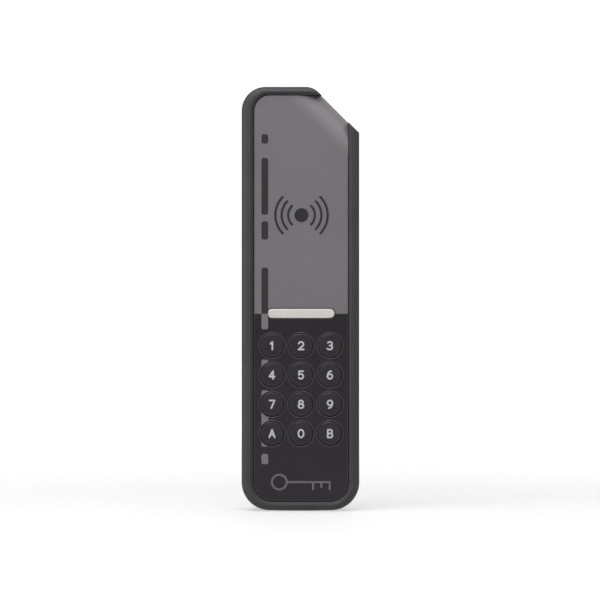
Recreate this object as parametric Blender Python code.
"""Wall-mounted RFID card reader with a twelve-key keypad.

A front unit, which holds the electronics, hooks over the top of a base that is
screwed to the wall. X runs to the right, Z runs up and the front faces -Y. The
origin is the middle of the base's wall face. Depths are measured backwards from
the front of the housing's rim.
"""

import math

import bmesh
import bpy

MM = 0.001
GAP = 0.3 * MM
EMBED = 0.2 * MM
OVERCUT = 1.0 * MM

# Body
WIDTH = 44.0 * MM
HEIGHT = 158.4 * MM
DEPTH = 22.0 * MM
TOP_RADIUS = 9.0 * MM
BOTTOM_RADIUS = 10.5 * MM
BOTTOM_CROWN = 0.4 * MM
CROWN_RADIUS = 400.0 * MM
CUT_SUM = 84.0 * MM
CUT_TOP_RADIUS = 7.0 * MM
CUT_SIDE_RADIUS = 0.9 * MM
SHARP_RADIUS = 0.05 * MM
ARC_STEPS = 6

# Housing
WALL = 2.0 * MM
CUT_WALL = 4.8 * MM
RIM_SIDE = 3.2 * MM
RIM_TOP = 2.0 * MM
RIM_BOTTOM = 2.1 * MM
RIM_CUT = 0.8 * MM
RIM_DROP = 2.6 * MM
RIM_STEPS = 5
RIM_CHAMFER = 0.8 * MM
POCKET_FLOOR = 3.7 * MM
FRONT_WALL_REAR = 4.9 * MM
SKIRT_END = DEPTH - GAP
BOSS_RADIUS = 2.2 * MM
BOSS_END = 9.5 * MM
PILOT_START = 5.6 * MM

# Front panel
PANEL_X = 0.25 * MM
PANEL_HALF_WIDTH = 17.6 * MM
PANEL_TOP = 75.9 * MM
PANEL_BOTTOM = -75.6 * MM
PANEL_TOP_RADIUS = 5.9 * MM
PANEL_BOTTOM_RADIUS = 6.8 * MM
PANEL_FACE = 1.0 * MM
PANEL_THICKNESS = 1.6 * MM
PANEL_OPEN_END = 5.0 * MM
ROLL_LENGTH = 10.0 * MM
ROLL_DEPTH = 6.0 * MM
ROLL_STEPS = 10
ROLL_START = CUT_SUM / math.sqrt(2) - ROLL_LENGTH
ROLL_REACH = 120.0 * MM
ADHESIVE_FACE = PANEL_FACE + PANEL_THICKNESS + GAP
ADHESIVE_THICKNESS = 0.5 * MM
ADHESIVE_INSET = 1.0 * MM

# Keypad
KEY_NAMES = (("1", "2", "3"), ("4", "5", "6"), ("7", "8", "9"), ("a", "0", "b"))
KEY_CENTRE_X = 0.2 * MM
KEY_PITCH_X = 10.8 * MM
KEY_TOP_Z = -17.5 * MM
KEY_PITCH_Z = 10.93 * MM
KEY_RADIUS = 4.4 * MM
KEY_FLANGE_RADIUS = 5.05 * MM
KEY_FLANGE_FACE = FRONT_WALL_REAR + GAP
KEY_FLANGE_THICKNESS = 0.6 * MM
KEY_PROUD = 0.35 * MM
KEY_FACE = PANEL_FACE - KEY_PROUD
KEY_PLUNGER_RADIUS = 3.0 * MM
KEY_PLUNGER_END = 8.9 * MM
KEY_DISH = 0.12 * MM
KEY_EDGE = 0.6 * MM
KEY_EDGE_DROP = 0.15 * MM
KEY_SIDES = 16
HOLE_SIDES = 20
SMALL_SIDES = 16
ROUND_SIDES = 28
MAT_FACE = 8.5 * MM
MAT_COLLAR_FACE = 6.7 * MM
MAT_COLLAR_RADIUS = 4.3 * MM
MAT_HALF_WIDTH = 16.5 * MM
MAT_TOP = -11.0 * MM
MAT_BOTTOM = -56.8 * MM

# Light bar
BAR_X = 0.25 * MM
BAR_Z = -5.5 * MM
BAR_LENGTH = 25.0 * MM
BAR_HEIGHT = 3.5 * MM
BAR_FLANGE = 1.0 * MM
BAR_FLANGE_END = 6.0 * MM
BAR_END = 8.2 * MM
LED_PITCH = 8.0 * MM
LED_WIDTH = 3.2 * MM
LED_HEIGHT = 2.6 * MM
LED_THICKNESS = 1.0 * MM
LED_CHAMFER = 0.3 * MM

# Boards
BOARD_FACE = 9.8 * MM
BOARD_THICKNESS = 1.6 * MM
BOARD_INSET = 4.0 * MM
BOARD_CUT_INSET = 6.4 * MM
REAR_SEAT = BOARD_FACE + BOARD_THICKNESS + GAP
FRONT_SEAT = BOARD_FACE - GAP
SCREW_SHAFT_RADIUS = 1.1 * MM
SCREW_HOLE_RADIUS = 1.4 * MM
SCREW_TIP = 6.3 * MM
SCREW_HEAD_RADIUS = 2.2 * MM
SCREW_HEAD_EDGE = 0.9 * MM
SCREW_HEAD = 1.5 * MM
SCREW_SLOT = 0.5 * MM
SCREW_SLOT_LENGTH = 2.4 * MM
SCREW_SLOT_DEPTH = 0.7 * MM
ANTENNA_HALF_WIDTH = 11.6 * MM
ANTENNA_BOTTOM = 12.0 * MM
ANTENNA_TOP = 60.0 * MM
ANTENNA_TURNS = 5
ANTENNA_PITCH = 1.3 * MM
ANTENNA_TRACE = 0.7 * MM
ANTENNA_THICKNESS = 0.3 * MM
FERRITE_MARGIN = 1.0 * MM
FERRITE_THICKNESS = 0.4 * MM
CHIP_CHAMFER_SHARE = 0.15
CAN_SHOULDER = 0.5 * MM
CAN_PORT_RADIUS = 1.0 * MM
CAN_PORT_DEPTH = 1.5 * MM

# Terminals
TERMINAL_COUNT = 6
TERMINAL_PITCH = 3.5 * MM
TERMINAL_HALF_WIDTH = 11.2 * MM
TERMINAL_END = 18.6 * MM
HEADER_BOTTOM = -6.0 * MM
HEADER_TOP = -1.0 * MM
PLUG_BOTTOM = -17.0 * MM
TERMINAL_SCREW_Z = -10.0 * MM
TERMINAL_SCREW_RADIUS = 1.2 * MM
TERMINAL_SCREW_HEIGHT = 0.8 * MM
TERMINAL_SCREW_CHAMFER = 0.15 * MM
TERMINAL_SLOT = 0.4 * MM
TERMINAL_WELL = 1.4 * MM
ENTRY_HALF_WIDTH = 1.1 * MM
ENTRY_LENGTH = 5.0 * MM
ENTRY_FRONT = 1.4 * MM
ENTRY_REAR = 4.0 * MM

# Wall base
BASE_THICKNESS = 2.5 * MM
BASE_INSET = WALL + GAP
BASE_CUT_INSET = CUT_WALL + 2 * GAP
GASKET_WIDTH = 2.4 * MM
GASKET_THICKNESS = 0.7 * MM
GASKET_MARGIN = 1.3 * MM
HOOK_X = -6.0 * MM
HOOK_WIDTH = 9.0 * MM
HOOK_BOTTOM = 73.2 * MM
HOOK_ARM_TOP = 74.6 * MM
HOOK_LIP_TOP = 76.1 * MM
HOOK_FRONT = -4.1 * MM
HOOK_LIP_REAR = -2.8 * MM
CATCH_WIDTH = 8.0 * MM
CATCH_BOTTOM = 75.5 * MM
CATCH_FRONT = 17.4 * MM
CATCH_REAR = 19.1 * MM
FORK_HALF_WIDTH = 5.0 * MM
FORK_BOTTOM = -71.5 * MM
FORK_TOP = -69.5 * MM
FORK_FRONT = -7.0 * MM
FORK_SLOT_END = -2.2 * MM
STIFFENER_MARGIN = 1.0 * MM
STIFFENER_THICKNESS = 1.2 * MM
STIFFENER_LENGTH = 100.0 * MM
STIFFENER_Z = -8.0 * MM
STIFFENER_FRONT = -2.3 * MM
WALL_SCREW_Z = 41.65 * MM
WALL_SLOT_LENGTH = 9.0 * MM
WALL_SLOT_WIDTH = 4.4 * MM
INLET_Z = -29.0 * MM
INLET_RADIUS = 7.0 * MM
INLET_FLANGE_RADIUS = 9.0 * MM
INLET_RECESS = 1.3 * MM
INLET_BORE_RADIUS = 4.5 * MM
GROMMET_FLANGE = 0.8 * MM
GROMMET_REAR = -0.2 * MM
INLET_SIDES = 24
TAMPER_X = 13.5 * MM
TAMPER_Z = 5.0 * MM
TAMPER_RADIUS = 1.2 * MM
TAMPER_SIZE = 6.0 * MM
TAMPER_BODY_END = 16.0 * MM
TAMPER_BORE_START = 12.2 * MM
TAMPER_TRAVEL = 0.8 * MM
TAMPER_NOSE = 0.4 * MM

# Security screw
SECURITY_Y = -7.0 * MM
SECURITY_RADIUS = 1.5 * MM
SECURITY_HEAD_RADIUS = 2.7 * MM
SECURITY_HEAD = 1.6 * MM
SECURITY_LENGTH = 12.6 * MM
SECURITY_SEAT = 2.4 * MM
SECURITY_CHAMFER = 0.5 * MM
SECURITY_HEAD_CHAMFER = 0.2 * MM
SOCKET_RADIUS = 1.1 * MM
SOCKET_DEPTH = 1.0 * MM
SOCKET_SIDES = 6
RETAINER_WIDTH = 1.2 * MM
RETAINER_THICKNESS = 0.6 * MM
RETAINER_Z = -72.7 * MM
BLOCK_HALF_WIDTH = 4.5 * MM
BLOCK_TOP = -73.0 * MM
BLOCK_FRONT = 12.0 * MM
BLOCK_REAR = 18.9 * MM
BLOCK_HOLE_TOP = -72.0 * MM

# The screws that hold the board, as (x, z)
SCREW_PLACES = (
    (-15.0 * MM, 70.0 * MM),
    (15.4 * MM, 52.0 * MM),
    (-15.0 * MM, -68.0 * MM),
    (15.0 * MM, -68.0 * MM),
)

# Components on the back of the board, in millimetres: (width, height, thickness), (x, z), finish
CHIPS = {
    "mcu": ((10.0, 10.0, 1.4), (-6.0, -29.0), "chip_black"),
    "rf_chip": ((6.0, 6.0, 0.9), (-9.0, 5.0), "chip_black"),
    "crystal": ((5.0, 3.2, 1.2), (0.0, 5.0), "tin"),
    "inductor": ((6.0, 6.0, 3.0), (9.0, -27.0), "chip_black"),
    "regulator": ((6.5, 6.0, 2.3), (-13.0, -57.0), "chip_black"),
}

# Round components, in millimetres: (radius, height), (x, z), finish
CANS = {
    "capacitor_1": ((3.15, 5.4), (-5.0, -52.0), "tin"),
    "capacitor_2": ((3.15, 5.4), (-5.0, -61.0), "tin"),
    "buzzer": ((6.0, 5.5), (8.0, -56.0), "chip_black"),
}

# Finishes: base colour, roughness, metallic
FINISHES = {
    "dark_plastic": ((0.085, 0.086, 0.09), 0.5, 0.0),
    "panel_grey": ((0.17, 0.16, 0.17), 0.25, 0.0),
    "key_black": ((0.03, 0.028, 0.03), 0.35, 0.0),
    "milky_diffuser": ((0.62, 0.6, 0.56), 0.4, 0.0),
    "black_rubber": ((0.02, 0.02, 0.02), 0.8, 0.0),
    "grey_silicone": ((0.25, 0.25, 0.26), 0.7, 0.0),
    "tape_white": ((0.5, 0.5, 0.48), 0.7, 0.0),
    "board_green": ((0.01, 0.09, 0.04), 0.35, 0.0),
    "copper": ((0.7, 0.32, 0.16), 0.3, 1.0),
    "ferrite_grey": ((0.06, 0.06, 0.065), 0.6, 0.0),
    "chip_black": ((0.015, 0.015, 0.016), 0.45, 0.0),
    "tin": ((0.6, 0.6, 0.6), 0.3, 1.0),
    "led_white": ((0.7, 0.68, 0.5), 0.35, 0.0),
    "terminal_green": ((0.03, 0.2, 0.07), 0.4, 0.0),
    "steel": ((0.5, 0.5, 0.5), 0.3, 1.0),
    "nylon": ((0.6, 0.6, 0.56), 0.5, 0.0),
}

HALF = WIDTH / 2
TOP = HEIGHT / 2
PANEL_LEFT = PANEL_X - PANEL_HALF_WIDTH
PANEL_RIGHT = PANEL_X + PANEL_HALF_WIDTH

# Corners are (x, z, radius), anticlockwise as seen from the front.
BODY_CORNERS = (
    (-HALF, BOTTOM_CROWN - TOP, BOTTOM_RADIUS),
    (0.0, -TOP, CROWN_RADIUS),
    (HALF, BOTTOM_CROWN - TOP, BOTTOM_RADIUS),
    (HALF, CUT_SUM - HALF, CUT_SIDE_RADIUS),
    (CUT_SUM - TOP, TOP, CUT_TOP_RADIUS),
    (-HALF, TOP, TOP_RADIUS),
)
PANEL_CORNERS = (
    (PANEL_LEFT, PANEL_BOTTOM, PANEL_BOTTOM_RADIUS),
    (PANEL_RIGHT, PANEL_BOTTOM, PANEL_BOTTOM_RADIUS),
    (PANEL_RIGHT, CUT_SUM - PANEL_RIGHT, SHARP_RADIUS),
    (CUT_SUM - PANEL_TOP, PANEL_TOP, SHARP_RADIUS),
    (PANEL_LEFT, PANEL_TOP, PANEL_TOP_RADIUS),
)


# Outlines in the X-Z plane


def inset_corners(corners, insets):
    """Move each edge of a convex outline inwards; insets[i] is for the edge after corner i."""
    moved = []
    count = len(corners)
    for index, (x, z, radius) in enumerate(corners):
        last_x, last_z, _ = corners[index - 1]
        next_x, next_z, _ = corners[(index + 1) % count]
        length_in = math.hypot(x - last_x, z - last_z)
        length_out = math.hypot(next_x - x, next_z - z)
        normal_in = ((last_z - z) / length_in, (x - last_x) / length_in)
        normal_out = ((z - next_z) / length_out, (next_x - x) / length_out)
        inset_in = insets[index - 1]
        inset_out = insets[index]
        area = normal_in[0] * normal_out[1] - normal_in[1] * normal_out[0]
        shift_x = (inset_in * normal_out[1] - inset_out * normal_in[1]) / area
        shift_z = (inset_out * normal_in[0] - inset_in * normal_out[0]) / area
        new_radius = max(radius - (inset_in + inset_out) / 2, SHARP_RADIUS)
        moved.append((x + shift_x, z + shift_z, new_radius))
    return moved


def rounded(corners, steps=ARC_STEPS):
    """Points of a convex outline with each corner turned into an arc."""
    points = []
    count = len(corners)
    for index, (x, z, radius) in enumerate(corners):
        last_x, last_z, _ = corners[index - 1]
        next_x, next_z, _ = corners[(index + 1) % count]
        heading_in = math.atan2(z - last_z, x - last_x)
        heading_out = math.atan2(next_z - z, next_x - x)
        turn = (heading_out - heading_in) % (2 * math.pi)
        reach = radius * math.tan(turn / 2)
        centre_x = x - reach * math.cos(heading_in) - radius * math.sin(heading_in)
        centre_z = z - reach * math.sin(heading_in) + radius * math.cos(heading_in)
        for step in range(steps + 1):
            angle = heading_in - math.pi / 2 + turn * step / steps
            points.append((centre_x + radius * math.cos(angle), centre_z + radius * math.sin(angle)))
    return points


def body_outline(side, bottom=None, cut=None, top=None):
    """The body's outline, moved inwards by the given amounts."""
    bottom = side if bottom is None else bottom
    cut = side if cut is None else cut
    top = side if top is None else top
    return rounded(inset_corners(BODY_CORNERS, (bottom, bottom, side, cut, top, side)))


def panel_outline(grow, cut_grow):
    """The panel's outline, moved outwards; the edge along the cut has its own amount."""
    return rounded(inset_corners(PANEL_CORNERS, (-grow, -grow, -cut_grow, -grow, -grow)))


def rectangle(left, right, bottom, top):
    return [(left, bottom), (right, bottom), (right, top), (left, top)]


def centred(width, height, x=0.0, z=0.0):
    return rectangle(x - width / 2, x + width / 2, z - height / 2, z + height / 2)


def circle(radius, x=0.0, z=0.0, sides=HOLE_SIDES):
    points = []
    for side in range(sides):
        angle = 2 * math.pi * side / sides
        points.append((x + radius * math.cos(angle), z + radius * math.sin(angle)))
    return points


def stadium(length, height, x=0.0, z=0.0, steps=10):
    """A bar with fully round ends, its length along X."""
    radius = height / 2
    reach = length / 2 - radius
    points = []
    for side in (1, -1):
        for step in range(steps + 1):
            angle = math.pi * (step / steps - 0.5)
            out = reach + radius * math.cos(angle)
            points.append((x + side * out, z + side * radius * math.sin(angle)))
    return points


def upright(points, x, z):
    """An outline turned a quarter turn about (x, z)."""
    return [(x - (point_z - z), z + (point_x - x)) for point_x, point_z in points]


def key_places():
    """The name, x and z of each key."""
    places = []
    for row, names in enumerate(KEY_NAMES):
        for column, name in enumerate(names):
            x = KEY_CENTRE_X + (column - 1) * KEY_PITCH_X
            z = KEY_TOP_Z - row * KEY_PITCH_Z
            places.append((name, x, z))
    return places


# Meshes


def at_depth(points, y):
    return [(x, y, z) for x, z in points]


def across_cut(profile, along):
    """Place (distance, depth) points on a plane square to the 45-degree cut."""
    root = math.sqrt(2)
    return [((distance - along) / root, y, (distance + along) / root) for distance, y in profile]


def add_loft(shape, rings, ring_shaped=False):
    """Add a closed solid through rings of points; a ring-shaped one joins its last to its first."""
    loops = [[shape.verts.new(point) for point in ring] for ring in rings]
    pairs = list(zip(loops, loops[1:]))
    if ring_shaped:
        pairs.append((loops[-1], loops[0]))
    else:
        shape.faces.new(loops[0])
        shape.faces.new(loops[-1])
    for near, far in pairs:
        for index in range(len(near)):
            shape.faces.new((near[index - 1], near[index], far[index], far[index - 1]))


def lofted(rings, ring_shaped=False):
    shape = bmesh.new()
    add_loft(shape, rings, ring_shaped)
    return shape


def add_prism(shape, points, front, rear):
    add_loft(shape, [at_depth(points, front), at_depth(points, rear)])


def prism(points, front, rear):
    shape = bmesh.new()
    add_prism(shape, points, front, rear)
    return shape


def turned(profile, sides=HOLE_SIDES, ring_shaped=False):
    """A solid turned about the Y axis from (radius, y) points."""
    return lofted([at_depth(circle(radius, sides=sides), y) for radius, y in profile], ring_shaped)


def paint(name, colour, roughness, metallic):
    material = bpy.data.materials.new(name)
    material.use_nodes = True
    surface = material.node_tree.nodes["Principled BSDF"]
    surface.inputs["Base Color"].default_value = (*colour, 1.0)
    surface.inputs["Roughness"].default_value = roughness
    surface.inputs["Metallic"].default_value = metallic
    material.diffuse_color = (*colour, 1.0)
    return material


def mesh_from(name, shape, material=None, smooth=False):
    bmesh.ops.recalc_face_normals(shape, faces=shape.faces)
    mesh = bpy.data.meshes.new(name)
    shape.to_mesh(mesh)
    shape.free()
    if material:
        mesh.materials.append(material)
    if smooth:
        mesh.shade_smooth()
        mesh.set_sharp_from_angle(angle=math.radians(35))
    return mesh


def place(name, mesh, parent, x=0.0, depth=0.0, z=0.0):
    """Put a mesh at a depth behind the rim's front, carried by an empty."""
    item = bpy.data.objects.new(name, mesh)
    bpy.context.scene.collection.objects.link(item)
    item.parent = parent
    item.location = (x - parent.location.x, depth - DEPTH - parent.location.y, z - parent.location.z)
    return item


def shape_with(target, cutter, operation="DIFFERENCE"):
    modifier = target.modifiers.new(cutter.name, "BOOLEAN")
    modifier.operation = operation
    modifier.object = cutter
    cutter.hide_render = True
    cutter.display_type = "WIRE"


def tool(name, shape, like):
    """A shape used to cut or build up the piece that it shares its place with."""
    cutter = bpy.data.objects.new(name, mesh_from(name, shape))
    bpy.context.scene.collection.objects.link(cutter)
    cutter.parent = like.parent
    cutter.location = like.location
    cutter.rotation_euler = like.rotation_euler
    return cutter


def empty(name, x, y, z):
    item = bpy.data.objects.new(name, None)
    item.empty_display_size = 10 * MM
    item.location = (x, y, z)
    bpy.context.scene.collection.objects.link(item)
    return item


def front_openings(key_radius, bar_grow, front, rear):
    """The twelve key holes and the light bar's slot, as one cutting shape."""
    shape = bmesh.new()
    for _, x, z in key_places():
        add_prism(shape, circle(key_radius, x, z), front, rear)
    slot = stadium(BAR_LENGTH + 2 * bar_grow, BAR_HEIGHT + 2 * bar_grow, BAR_X, BAR_Z)
    add_prism(shape, slot, front, rear)
    return shape


# Wall base


def make_wall_base(parent, material):
    outline = body_outline(BASE_INSET, cut=BASE_CUT_INSET)
    mesh = mesh_from("wall_base", prism(outline, 0.0, BASE_THICKNESS), material)
    base = place("wall_base", mesh, parent, depth=DEPTH - BASE_THICKNESS)
    shape_with(base, tool("base_hook_and_fork", hook_and_fork(), base), "UNION")
    shape_with(base, tool("base_openings", base_openings(), base))
    groove = gasket_ring(GAP, BASE_THICKNESS + GAP, GASKET_THICKNESS + 2 * GAP)
    shape_with(base, tool("gasket_groove", groove, base))


def hook_and_fork():
    """The hook at the top, the fork for the security screw and the two stiffeners."""
    shape = bmesh.new()
    hook_profile = [
        (EMBED, HOOK_BOTTOM),
        (EMBED, HOOK_ARM_TOP),
        (HOOK_LIP_REAR, HOOK_ARM_TOP),
        (HOOK_LIP_REAR, HOOK_LIP_TOP),
        (HOOK_FRONT, HOOK_LIP_TOP),
        (HOOK_FRONT, HOOK_BOTTOM),
    ]
    ends = []
    for x in (HOOK_X - HOOK_WIDTH / 2, HOOK_X + HOOK_WIDTH / 2):
        ends.append([(x, y, z) for y, z in hook_profile])
    add_loft(shape, ends)

    slot_half = SECURITY_RADIUS + GAP
    fork_profile = [
        (-FORK_HALF_WIDTH, EMBED),
        (-FORK_HALF_WIDTH, FORK_FRONT),
        (-slot_half, FORK_FRONT),
        (-slot_half, FORK_SLOT_END),
        (slot_half, FORK_SLOT_END),
        (slot_half, FORK_FRONT),
        (FORK_HALF_WIDTH, FORK_FRONT),
        (FORK_HALF_WIDTH, EMBED),
    ]
    ends = []
    for z in (FORK_BOTTOM, FORK_TOP):
        ends.append([(x, y, z) for x, y in fork_profile])
    add_loft(shape, ends)

    for side in (-1, 1):
        x = side * (HALF - BASE_INSET - STIFFENER_MARGIN)
        stiffener = centred(STIFFENER_THICKNESS, STIFFENER_LENGTH, x, STIFFENER_Z)
        add_prism(shape, stiffener, STIFFENER_FRONT, EMBED)
    return shape


def base_openings():
    """Two slots for wall screws, the cable inlet with its recess, and the tamper hole."""
    shape = bmesh.new()
    front = -OVERCUT
    rear = BASE_THICKNESS + OVERCUT
    slot = stadium(WALL_SLOT_LENGTH, WALL_SLOT_WIDTH, 0.0, WALL_SCREW_Z)
    add_prism(shape, upright(slot, 0.0, WALL_SCREW_Z), front, rear)
    add_prism(shape, stadium(WALL_SLOT_LENGTH, WALL_SLOT_WIDTH, 0.0, -WALL_SCREW_Z), front, rear)
    steps = (
        (INLET_RADIUS, front),
        (INLET_RADIUS, BASE_THICKNESS - INLET_RECESS),
        (INLET_FLANGE_RADIUS, BASE_THICKNESS - INLET_RECESS),
        (INLET_FLANGE_RADIUS, rear),
    )
    add_loft(shape, [at_depth(circle(radius, 0.0, INLET_Z, INLET_SIDES), y) for radius, y in steps])
    add_prism(shape, circle(TAMPER_RADIUS + 2 * GAP, TAMPER_X, TAMPER_Z), front, rear)
    return shape


def gasket_ring(grow, rear, thickness):
    """A band that follows the base's edge, its rear face at the given y."""
    outer_inset = BASE_INSET + GASKET_MARGIN - grow
    inner_inset = BASE_INSET + GASKET_MARGIN + GASKET_WIDTH + grow
    extra = BASE_CUT_INSET - BASE_INSET
    outer = body_outline(outer_inset, cut=outer_inset + extra)
    inner = body_outline(inner_inset, cut=inner_inset + extra)
    rings = [
        at_depth(outer, rear - thickness),
        at_depth(outer, rear),
        at_depth(inner, rear),
        at_depth(inner, rear - thickness),
    ]
    return lofted(rings, ring_shaped=True)


def make_wall_gasket(parent, material):
    mesh = mesh_from("wall_gasket", gasket_ring(0.0, 0.0, GASKET_THICKNESS), material)
    place("wall_gasket", mesh, parent, depth=DEPTH)


def make_cable_grommet(parent, material):
    neck = INLET_RADIUS - GAP
    flange = INLET_FLANGE_RADIUS - GAP
    seat = -BASE_THICKNESS - GAP
    recess = GAP - INLET_RECESS
    profile = (
        (INLET_BORE_RADIUS, seat - GROMMET_FLANGE),
        (flange, seat - GROMMET_FLANGE),
        (flange, seat),
        (neck, seat),
        (neck, recess),
        (flange, recess),
        (flange, GROMMET_REAR),
        (INLET_BORE_RADIUS, GROMMET_REAR),
    )
    mesh = mesh_from("cable_grommet", turned(profile, INLET_SIDES, ring_shaped=True), material, smooth=True)
    place("cable_grommet", mesh, parent, depth=DEPTH, z=INLET_Z)


# Housing


def make_housing(parent, material):
    mesh = mesh_from("housing", lofted(rim_rings()), material)
    housing = place("housing", mesh, parent)
    cavity = prism(body_outline(WALL, cut=CUT_WALL), FRONT_WALL_REAR, DEPTH + WALL)
    shape_with(housing, tool("housing_cavity", cavity, housing))
    shape_with(housing, tool("housing_bosses", housing_bosses(), housing), "UNION")
    pocket = tool("panel_pocket", pocket_walls(), housing)
    shape_with(pocket, tool("pocket_form", lofted(pocket_form()), housing), "INTERSECT")
    shape_with(housing, pocket)
    openings = front_openings(KEY_RADIUS + GAP, GAP, PANEL_FACE, FRONT_WALL_REAR + GAP)
    shape_with(housing, tool("housing_openings", openings, housing))
    shape_with(housing, tool("screw_pilot_holes", pilot_holes(), housing))


def rim_rings():
    """Outlines down the rim's rounded edge and on to the end of the skirt."""
    rings = []
    for step in range(RIM_STEPS + 1):
        angle = math.pi / 2 * step / RIM_STEPS
        left = 1 - math.sin(angle)
        outline = body_outline(RIM_SIDE * left, RIM_BOTTOM * left, RIM_CUT * left, RIM_TOP * left)
        rings.append(at_depth(outline, RIM_DROP * (1 - math.cos(angle))))
    rings.append(at_depth(body_outline(0.0), SKIRT_END))
    return rings


def housing_bosses():
    """Four posts for the board, the catch behind the base's hook and the security screw's block."""
    shape = bmesh.new()
    for x, z in SCREW_PLACES:
        add_prism(shape, circle(BOSS_RADIUS, x, z), FRONT_WALL_REAR - EMBED, BOSS_END)
    catch_left = HOOK_X - CATCH_WIDTH / 2
    catch = rectangle(catch_left, catch_left + CATCH_WIDTH, CATCH_BOTTOM, TOP - WALL + EMBED)
    add_prism(shape, catch, CATCH_FRONT, CATCH_REAR)
    block = rectangle(-BLOCK_HALF_WIDTH, BLOCK_HALF_WIDTH, WALL - TOP - EMBED, BLOCK_TOP)
    add_prism(shape, block, BLOCK_FRONT, BLOCK_REAR)
    return shape


def pocket_walls():
    """The panel's pocket, with slanted walls above the panel and an open end at the cut."""
    slope = RIM_CHAMFER / PANEL_FACE
    steps = (
        (GAP + RIM_CHAMFER + slope * EMBED, -EMBED),
        (GAP, PANEL_FACE),
        (GAP, PANEL_FACE + ROLL_DEPTH + OVERCUT),
    )
    return lofted([at_depth(panel_outline(grow, PANEL_OPEN_END), y) for grow, y in steps])


def pocket_form():
    """Everything in front of the pocket's floor, which curves down behind the rolled corner."""
    length = ROLL_LENGTH - PANEL_THICKNESS - GAP
    drop = ROLL_DEPTH - PANEL_THICKNESS - GAP
    centre = PANEL_FACE + ROLL_DEPTH
    start = math.asin((centre - POCKET_FLOOR) / drop)
    profile = [(-ROLL_REACH, -OVERCUT), (-ROLL_REACH, POCKET_FLOOR)]
    for step in range(ROLL_STEPS + 1):
        angle = start * (1 - step / ROLL_STEPS)
        profile.append((ROLL_START + length * math.cos(angle), centre - drop * math.sin(angle)))
    end = centre + GAP
    outside = ROLL_START + ROLL_LENGTH + PANEL_OPEN_END
    profile += [(ROLL_START + length, end), (outside, end), (outside, -OVERCUT)]
    return [across_cut(profile, -ROLL_REACH), across_cut(profile, ROLL_REACH)]


def pilot_holes():
    """Blind holes in the four posts, and the security screw's stepped hole from below."""
    shape = bmesh.new()
    for x, z in SCREW_PLACES:
        add_prism(shape, circle(SCREW_HOLE_RADIUS, x, z, SMALL_SIDES), PILOT_START, BOSS_END + GAP)
    centre = DEPTH + SECURITY_Y
    steps = (
        (SECURITY_HEAD_RADIUS + GAP, -TOP - OVERCUT),
        (SECURITY_HEAD_RADIUS + GAP, -TOP + SECURITY_SEAT),
        (SECURITY_RADIUS + GAP, -TOP + SECURITY_SEAT),
        (SECURITY_RADIUS + GAP, BLOCK_HOLE_TOP),
    )
    rings = []
    for radius, height in steps:
        rings.append([(x, y, height) for x, y in circle(radius, 0.0, centre)])
    add_loft(shape, rings)
    return shape


# Front


def make_front_panel(parent, material):
    sheet = prism(panel_outline(0.0, PANEL_OPEN_END), -OVERCUT, ROLL_DEPTH + OVERCUT)
    panel = place("front_panel", mesh_from("front_panel", sheet, material), parent, depth=PANEL_FACE)
    shape_with(panel, tool("rolled_sheet", lofted(rolled_sheet()), panel), "INTERSECT")
    openings = front_openings(KEY_RADIUS + GAP, GAP, -GAP, PANEL_THICKNESS + GAP)
    shape_with(panel, tool("panel_openings", openings, panel))


def rolled_sheet():
    """A flat sheet that turns down through a quarter of an ellipse at the cut corner."""
    profile = [(-ROLL_REACH, 0.0)]
    for inset, order in ((0.0, 1), (PANEL_THICKNESS, -1)):
        for step in range(ROLL_STEPS + 1)[::order]:
            angle = math.pi / 2 * step / ROLL_STEPS
            distance = ROLL_START + (ROLL_LENGTH - inset) * math.sin(angle)
            profile.append((distance, ROLL_DEPTH - (ROLL_DEPTH - inset) * math.cos(angle)))
    profile.append((-ROLL_REACH, PANEL_THICKNESS))
    return [across_cut(profile, -ROLL_REACH), across_cut(profile, ROLL_REACH)]


def make_panel_adhesive(parent, material):
    sheet = prism(panel_outline(-ADHESIVE_INSET, -ROLL_LENGTH), 0.0, ADHESIVE_THICKNESS)
    mesh = mesh_from("panel_adhesive", sheet, material)
    adhesive = place("panel_adhesive", mesh, parent, depth=ADHESIVE_FACE)
    openings = front_openings(KEY_RADIUS + 2 * GAP, 2 * GAP, -GAP, ADHESIVE_THICKNESS + GAP)
    shape_with(adhesive, tool("adhesive_openings", openings, adhesive))


def make_light_bar(parent, material):
    steps = (
        (0.0, PANEL_FACE),
        (0.0, KEY_FLANGE_FACE),
        (BAR_FLANGE, KEY_FLANGE_FACE),
        (BAR_FLANGE, BAR_FLANGE_END),
        (0.0, BAR_FLANGE_END),
        (0.0, BAR_END),
    )
    rings = []
    for grow, depth in steps:
        rings.append(at_depth(stadium(BAR_LENGTH + 2 * grow, BAR_HEIGHT + 2 * grow), depth - PANEL_FACE))
    mesh = mesh_from("light_bar", lofted(rings), material, smooth=True)
    place("light_bar", mesh, parent, BAR_X, PANEL_FACE, BAR_Z)


def make_keys(parent, material):
    """A dished cap, a flange that stops it behind the housing's front wall, and a plunger."""
    flange = KEY_FLANGE_FACE - KEY_FACE
    profile = (
        (KEY_RADIUS / 2, KEY_DISH),
        (KEY_RADIUS - KEY_EDGE, 0.0),
        (KEY_RADIUS - KEY_EDGE_DROP, KEY_EDGE_DROP),
        (KEY_RADIUS, KEY_EDGE),
        (KEY_RADIUS, flange),
        (KEY_FLANGE_RADIUS, flange),
        (KEY_FLANGE_RADIUS, flange + KEY_FLANGE_THICKNESS),
        (KEY_PLUNGER_RADIUS, flange + KEY_FLANGE_THICKNESS),
        (KEY_PLUNGER_RADIUS, KEY_PLUNGER_END - KEY_FACE),
    )
    mesh = mesh_from("key", turned(profile, KEY_SIDES), material, smooth=True)
    for name, x, z in key_places():
        place("key_" + name, mesh, parent, x, KEY_FACE, z)


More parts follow.
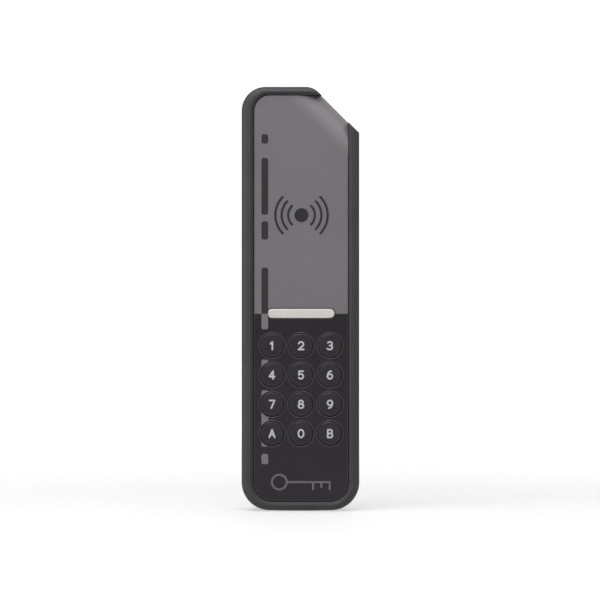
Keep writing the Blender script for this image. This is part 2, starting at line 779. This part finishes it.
def make_keypad_mat(parent, material):
    sheet = prism(rectangle(-MAT_HALF_WIDTH, MAT_HALF_WIDTH, MAT_BOTTOM, MAT_TOP), 0.0, FRONT_SEAT - MAT_FACE)
    mat = place("keypad_mat", mesh_from("keypad_mat", sheet, material), parent, depth=MAT_FACE)
    collars = bmesh.new()
    holes = bmesh.new()
    collar_front = MAT_COLLAR_FACE - MAT_FACE
    for _, x, z in key_places():
        add_prism(collars, circle(MAT_COLLAR_RADIUS, x, z, KEY_SIDES), collar_front, EMBED)
        bore = circle(KEY_PLUNGER_RADIUS + GAP, x, z, KEY_SIDES)
        add_prism(holes, bore, collar_front - GAP, FRONT_SEAT - MAT_FACE + GAP)
    shape_with(mat, tool("mat_collars", collars, mat), "UNION")
    shape_with(mat, tool("mat_holes", holes, mat))


# Electronics


def make_main_board(parent, material):
    sheet = prism(body_outline(BOARD_INSET, cut=BOARD_CUT_INSET), 0.0, BOARD_THICKNESS)
    board = place("main_board", mesh_from("main_board", sheet, material), parent, depth=BOARD_FACE)
    holes = bmesh.new()
    for x, z in SCREW_PLACES:
        hole = circle(SCREW_HOLE_RADIUS, x, z, SMALL_SIDES)
        add_prism(holes, hole, -GAP, BOARD_THICKNESS + GAP)
    shape_with(board, tool("board_holes", holes, board))


def make_board_screws(parent, material):
    """Screws with a low domed head and a single slot, in a frame that starts at the rim's front."""
    head_end = REAR_SEAT + SCREW_HEAD
    profile = (
        (SCREW_SHAFT_RADIUS, SCREW_TIP),
        (SCREW_SHAFT_RADIUS, REAR_SEAT),
        (SCREW_HEAD_RADIUS, REAR_SEAT),
        (SCREW_HEAD_RADIUS, REAR_SEAT + SCREW_HEAD_EDGE),
        (SCREW_HEAD_RADIUS - SCREW_HEAD_EDGE, head_end),
    )
    mesh = mesh_from("board_screw", turned(profile, SMALL_SIDES), material, smooth=True)
    for number, (x, z) in enumerate(SCREW_PLACES, 1):
        screw = place(f"board_screw_{number}", mesh, parent, x, 0.0, z)
        slot = prism(centred(SCREW_SLOT_LENGTH, SCREW_SLOT), head_end - SCREW_SLOT_DEPTH, head_end + OVERCUT)
        shape_with(screw, tool(f"screw_slot_{number}", slot, screw))


def antenna_outline():
    """Both edges of a rectangular spiral trace, as one outline."""
    corners = []
    for turn in range(ANTENNA_TURNS):
        near = turn * ANTENNA_PITCH
        left = near - ANTENNA_HALF_WIDTH
        right = ANTENNA_HALF_WIDTH - near
        corners.append((left, ANTENNA_BOTTOM + near))
        corners.append((right, ANTENNA_BOTTOM + near))
        corners.append((right, ANTENNA_TOP - near))
        corners.append((left + ANTENNA_PITCH, ANTENNA_TOP - near))
    corners.append((corners[-1][0], (ANTENNA_TOP + ANTENNA_BOTTOM) / 2))
    runs = [left_normal(start, end) for start, end in zip(corners, corners[1:])]
    edges = []
    for half in (ANTENNA_TRACE / 2, -ANTENNA_TRACE / 2):
        edge = []
        for index, (x, z) in enumerate(corners):
            meeting = runs[max(index - 1, 0) : index + 1]
            shift_x = half * sum(normal[0] for normal in meeting)
            shift_z = half * sum(normal[1] for normal in meeting)
            edge.append((x + shift_x, z + shift_z))
        edges.append(edge)
    return edges[0] + edges[1][::-1]


def left_normal(start, end):
    """The unit vector to the left of the way from one point to another."""
    length = math.hypot(end[0] - start[0], end[1] - start[1])
    return ((start[1] - end[1]) / length, (end[0] - start[0]) / length)


def make_antenna(parent, copper, ferrite):
    coil = mesh_from("antenna_coil", prism(antenna_outline(), 0.0, ANTENNA_THICKNESS), copper)
    place("antenna_coil", coil, parent, depth=FRONT_SEAT - ANTENNA_THICKNESS)
    width = 2 * (ANTENNA_HALF_WIDTH + FERRITE_MARGIN)
    height = ANTENNA_TOP - ANTENNA_BOTTOM + 2 * FERRITE_MARGIN
    sheet = mesh_from("ferrite_sheet", prism(centred(width, height), 0.0, FERRITE_THICKNESS), ferrite)
    place("ferrite_sheet", sheet, parent, 0.0, REAR_SEAT, (ANTENNA_TOP + ANTENNA_BOTTOM) / 2)


def make_chips(parent, finishes):
    """Flat components with a chamfered top, standing on the back of the board."""
    for name, (size, (x, z), finish) in CHIPS.items():
        width, height, thickness = (side * MM for side in size)
        chamfer = CHIP_CHAMFER_SHARE * thickness
        foot = centred(width, height)
        top = centred(width - 2 * chamfer, height - 2 * chamfer)
        rings = [at_depth(foot, 0.0), at_depth(foot, thickness - chamfer), at_depth(top, thickness)]
        mesh = mesh_from(name, lofted(rings), finishes[finish])
        place(name, mesh, parent, x * MM, REAR_SEAT, z * MM)


def make_cans(parent, finishes):
    """Round components with a chamfered shoulder; the buzzer has a sound hole in its end."""
    for name, (size, (x, z), finish) in CANS.items():
        radius, height = (side * MM for side in size)
        profile = (
            (radius, 0.0),
            (radius, height - CAN_SHOULDER),
            (radius - CAN_SHOULDER, height),
        )
        mesh = mesh_from(name, turned(profile, ROUND_SIDES), finishes[finish], smooth=True)
        can = place(name, mesh, parent, x * MM, REAR_SEAT, z * MM)
        if name == "buzzer":
            outline = circle(CAN_PORT_RADIUS, sides=SMALL_SIDES)
            port = prism(outline, height - CAN_PORT_DEPTH, height + OVERCUT)
            shape_with(can, tool("sound_hole", port, can))


def make_leds(parent, material):
    """Three light emitters on the front of the board, behind the light bar."""
    lens = centred(LED_WIDTH - 2 * LED_CHAMFER, LED_HEIGHT - 2 * LED_CHAMFER)
    body = centred(LED_WIDTH, LED_HEIGHT)
    rings = [at_depth(lens, 0.0), at_depth(body, LED_CHAMFER), at_depth(body, LED_THICKNESS)]
    mesh = mesh_from("led", lofted(rings), material)
    for step, side in enumerate(("left", "centre", "right"), -1):
        place("led_" + side, mesh, parent, BAR_X + step * LED_PITCH, FRONT_SEAT - LED_THICKNESS, BAR_Z)


def make_tamper(parent, body_material, plunger_material):
    """A switch whose plunger passes through the base and is pushed in by the wall."""
    height = TAMPER_BODY_END - REAR_SEAT
    body = prism(centred(TAMPER_SIZE, TAMPER_SIZE), 0.0, height)
    body_mesh = mesh_from("tamper_switch", body, body_material)
    switch = place("tamper_switch", body_mesh, parent, TAMPER_X, REAR_SEAT, TAMPER_Z)
    bore = prism(circle(TAMPER_RADIUS + GAP, sides=SMALL_SIDES), TAMPER_BORE_START - REAR_SEAT, height + GAP)
    shape_with(switch, tool("tamper_bore", bore, switch))

    inner_end = TAMPER_BORE_START + TAMPER_TRAVEL + GAP
    length = DEPTH - GAP - inner_end
    profile = (
        (TAMPER_RADIUS, 0.0),
        (TAMPER_RADIUS, length - TAMPER_NOSE),
        (TAMPER_RADIUS - TAMPER_NOSE, length),
    )
    plunger = mesh_from("tamper_plunger", turned(profile, SMALL_SIDES), plunger_material, smooth=True)
    place("tamper_plunger", plunger, parent, TAMPER_X, inner_end, TAMPER_Z)


def terminal_positions():
    first = -(TERMINAL_COUNT - 1) / 2
    return [(first + number) * TERMINAL_PITCH for number in range(TERMINAL_COUNT)]


def make_terminals(parent, material, screw_material):
    """A header on the board, a plug with wire entries underneath, and the plug's screws."""
    height = TERMINAL_END - REAR_SEAT
    header_outline = rectangle(-TERMINAL_HALF_WIDTH, TERMINAL_HALF_WIDTH, HEADER_BOTTOM, HEADER_TOP)
    header = mesh_from("terminal_header", prism(header_outline, 0.0, height), material)
    place("terminal_header", header, parent, depth=REAR_SEAT)

    plug_outline = rectangle(-TERMINAL_HALF_WIDTH, TERMINAL_HALF_WIDTH, PLUG_BOTTOM, HEADER_BOTTOM - GAP)
    plug_mesh = mesh_from("terminal_plug", prism(plug_outline, 0.0, height), material)
    plug = place("terminal_plug", plug_mesh, parent, depth=REAR_SEAT)
    holes = bmesh.new()
    for x in terminal_positions():
        well = circle(TERMINAL_SCREW_RADIUS + GAP, x, TERMINAL_SCREW_Z, SMALL_SIDES)
        add_prism(holes, well, height - TERMINAL_WELL, height + GAP)
        left = x - ENTRY_HALF_WIDTH
        right = x + ENTRY_HALF_WIDTH
        entry = rectangle(left, right, PLUG_BOTTOM - GAP, PLUG_BOTTOM + ENTRY_LENGTH)
        add_prism(holes, entry, ENTRY_FRONT, ENTRY_REAR)
    shape_with(plug, tool("plug_holes", holes, plug))

    top = TERMINAL_SCREW_HEIGHT
    profile = (
        (TERMINAL_SCREW_RADIUS, 0.0),
        (TERMINAL_SCREW_RADIUS, top - TERMINAL_SCREW_CHAMFER),
        (TERMINAL_SCREW_RADIUS - TERMINAL_SCREW_CHAMFER, top),
    )
    screw_mesh = mesh_from("terminal_screw", turned(profile, SMALL_SIDES), screw_material, smooth=True)
    depth = TERMINAL_END - TERMINAL_WELL + GAP
    for number, x in enumerate(terminal_positions(), 1):
        screw = place(f"terminal_screw_{number}", screw_mesh, parent, x, depth, TERMINAL_SCREW_Z)
        slot = prism(centred(3 * TERMINAL_SCREW_RADIUS, TERMINAL_SLOT), top / 2, top + OVERCUT)
        shape_with(screw, tool(f"terminal_slot_{number}", slot, screw))


# Security screw


def make_security_screw(parent, steel, nylon):
    """A captive screw that runs up through the housing's bottom edge, and its retaining washer."""
    profile = (
        (SECURITY_HEAD_RADIUS - SECURITY_HEAD_CHAMFER, 0.0),
        (SECURITY_HEAD_RADIUS, SECURITY_HEAD_CHAMFER),
        (SECURITY_HEAD_RADIUS, SECURITY_HEAD),
        (SECURITY_RADIUS, SECURITY_HEAD),
        (SECURITY_RADIUS, SECURITY_LENGTH - SECURITY_CHAMFER),
        (SECURITY_RADIUS - SECURITY_CHAMFER, SECURITY_LENGTH),
    )
    mesh = mesh_from("security_screw", turned(profile), steel, smooth=True)
    head_z = -TOP + SECURITY_SEAT - GAP - SECURITY_HEAD
    screw = place("security_screw", mesh, parent, 0.0, DEPTH + SECURITY_Y, head_z)
    screw.rotation_euler.x = math.pi / 2
    socket = prism(circle(SOCKET_RADIUS, sides=SOCKET_SIDES), -GAP, SOCKET_DEPTH)
    shape_with(screw, tool("security_socket", socket, screw))

    inner = SECURITY_RADIUS + GAP
    outer = inner + RETAINER_WIDTH
    ring = ((inner, 0.0), (outer, 0.0), (outer, RETAINER_THICKNESS), (inner, RETAINER_THICKNESS))
    washer_mesh = mesh_from("screw_retainer", turned(ring, ring_shaped=True), nylon, smooth=True)
    washer = place("screw_retainer", washer_mesh, parent, 0.0, DEPTH + SECURITY_Y, RETAINER_Z)
    washer.rotation_euler.x = math.pi / 2


def clear_scene():
    for item in list(bpy.data.objects):
        bpy.data.objects.remove(item, do_unlink=True)


def build():
    clear_scene()
    base_frame = empty("wall_mount", 0.0, 0.0, 0.0)
    front_unit = empty("front_unit", 0.0, -GAP, TOP)

    finishes = {name: paint(name, *values) for name, values in FINISHES.items()}

    make_wall_base(base_frame, finishes["dark_plastic"])
    make_wall_gasket(base_frame, finishes["black_rubber"])
    make_cable_grommet(base_frame, finishes["black_rubber"])

    make_housing(front_unit, finishes["dark_plastic"])
    make_front_panel(front_unit, finishes["panel_grey"])
    make_panel_adhesive(front_unit, finishes["tape_white"])
    make_light_bar(front_unit, finishes["milky_diffuser"])
    make_keys(front_unit, finishes["key_black"])
    make_keypad_mat(front_unit, finishes["grey_silicone"])

    make_main_board(front_unit, finishes["board_green"])
    make_board_screws(front_unit, finishes["steel"])
    make_antenna(front_unit, finishes["copper"], finishes["ferrite_grey"])
    make_leds(front_unit, finishes["led_white"])
    make_chips(front_unit, finishes)
    make_cans(front_unit, finishes)
    make_tamper(front_unit, finishes["chip_black"], finishes["nylon"])
    make_terminals(front_unit, finishes["terminal_green"], finishes["steel"])
    make_security_screw(front_unit, finishes["steel"], finishes["nylon"])


build()
